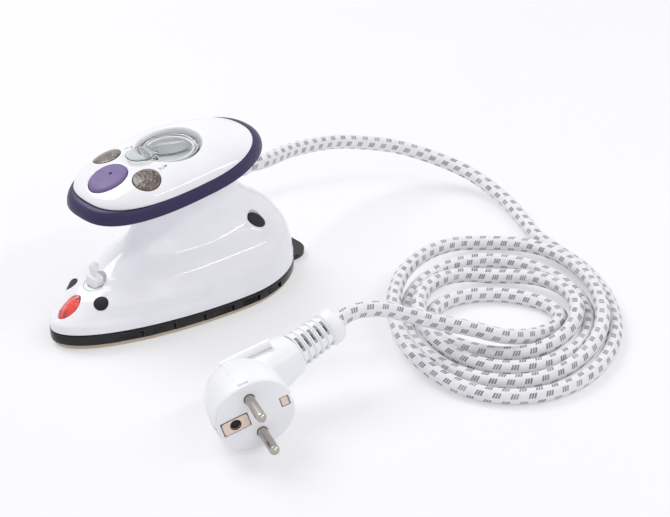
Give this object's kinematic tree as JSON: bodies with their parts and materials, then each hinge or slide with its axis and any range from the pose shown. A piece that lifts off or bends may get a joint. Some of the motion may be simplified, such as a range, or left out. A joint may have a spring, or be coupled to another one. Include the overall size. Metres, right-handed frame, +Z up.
{
  "type": "mini steam iron",
  "caption": "Small craft steam iron with a disc-shaped handle, a clear heat dial, a steam button, a water stopper in its nose and a coiled textile mains cord with an angled plug.",
  "frame": {"origin": "on the rest plane, under the middle of the iron's box without the cord, its coil and its plug", "axes": "+Z up from the sole, -Y towards the nose, +X to the right of someone who looks along +Y from the nose"},
  "size_m": [0.237, 0.2707, 0.0887],
  "materials": {
    "white_plastic": "moulded, glossy",
    "purple_plastic": "moulded, satin gloss",
    "lilac_plastic": "moulded, matt",
    "dark_purple_plastic": "moulded, satin",
    "black_plastic": "heat-proof moulding, satin",
    "coated_aluminium": "cast, ground face with a warm coated edge",
    "steel": "plain",
    "brass": "turned",
    "clear_plastic": "clear acrylic, polished",
    "smoked_lens": "smoked bronze lens with a mirror coat",
    "red_lens": "clear red, faceted",
    "tank_plastic": "translucent",
    "board": "glass-epoxy board",
    "mica": "ceramic and mica",
    "nickel": "nickel plated",
    "copper": "pale tinned copper alloy",
    "plug_plastic": "moulded, satin gloss",
    "braid": "woven textile sleeve, white with grey dashes"
  },
  "bodies": {
    "iron": {"body_shell": "white_plastic", "case_screw_front_left": "steel", "case_screw_front_right": "steel", "case_screw_rear_left": "steel", "case_screw_rear_right": "steel", "cord_clamp": "black_plastic", "cord_coil": "braid", "cord_gland": "plug_plastic", "cord_lead": "braid", "cord_tail": "braid", "drip_valve_seat": "brass", "earth_clip": "copper", "earth_socket": "copper", "filler_neck": "white_plastic", "grip_band": "purple_plastic", "handle_lower_shell": "white_plastic", "handle_screw_left": "steel", "handle_screw_right": "steel", "handle_upper_shell": "white_plastic", "heat_shield": "black_plastic", "heating_element": "steel", "indicator_board": "board", "indicator_lamp_left": "clear_plastic", "indicator_lamp_right": "clear_plastic", "indicator_lens_left": "smoked_lens", "indicator_lens_right": "smoked_lens", "lever_pin": "steel", "pilot_lamp": "brass", "pilot_lens": "red_lens", "plug_body": "plug_plastic", "plug_boot": "plug_plastic", "plug_pin_lower": "nickel", "plug_pin_upper": "nickel", "screw_plug_front_left": "dark_purple_plastic", "screw_plug_front_right": "dark_purple_plastic", "screw_plug_rear_left": "dark_purple_plastic", "screw_plug_rear_right": "dark_purple_plastic", "soleplate": "coated_aluminium", "steam_chamber_cover": "steel", "terminal_block": "plug_plastic", "thermal_fuse": "nickel", "thermostat": "mica", "valve_spring": "steel", "water_tank": "tank_plastic"},
    "dial": {"dial": "clear_plastic", "dial_spindle": "steel"},
    "button": {"steam_button": "lilac_plastic"},
    "lever": {"steam_lever": "black_plastic"},
    "valve_rod": {"valve_rod": "brass"},
    "stopper": {"filler_plug": "white_plastic"}
  },
  "joints": [
    {"name": "dial_turn", "type": "hinge", "parent": "iron", "child": "dial", "pos_m": [0, -0.0005, 0.06976], "axis": [0, -0.0797, 0.9968], "range_deg": [-45, 45]},
    {"name": "steam_button_press", "type": "slide", "parent": "iron", "child": "button", "axis": [0, 0.0797, -0.9968], "range_m": [0, 0.0015], "stiffness_N_per_m": 900, "springref_m": -0.0006},
    {"name": "steam_lever_tip", "type": "hinge", "parent": "iron", "child": "lever", "pos_m": [0, -0.02715, 0.07064], "axis": [1, 0, 0], "range_deg": [0, 9]},
    {"name": "valve_rod_lift", "type": "slide", "parent": "iron", "child": "valve_rod", "axis": [0, 0, 1], "range_m": [0, 0.002], "deforming": ["valve_spring"]},
    {"name": "filler_plug_pull", "type": "slide", "parent": "iron", "child": "stopper", "axis": [0, 0, 1], "range_m": [0, 0.015]}
  ],
  "couplings": [
    {"joint": "steam_lever_tip", "follows": "steam_button_press", "rad_per_m": 100},
    {"joint": "valve_rod_lift", "follows": "steam_button_press", "ratio": 1.2}
  ]
}
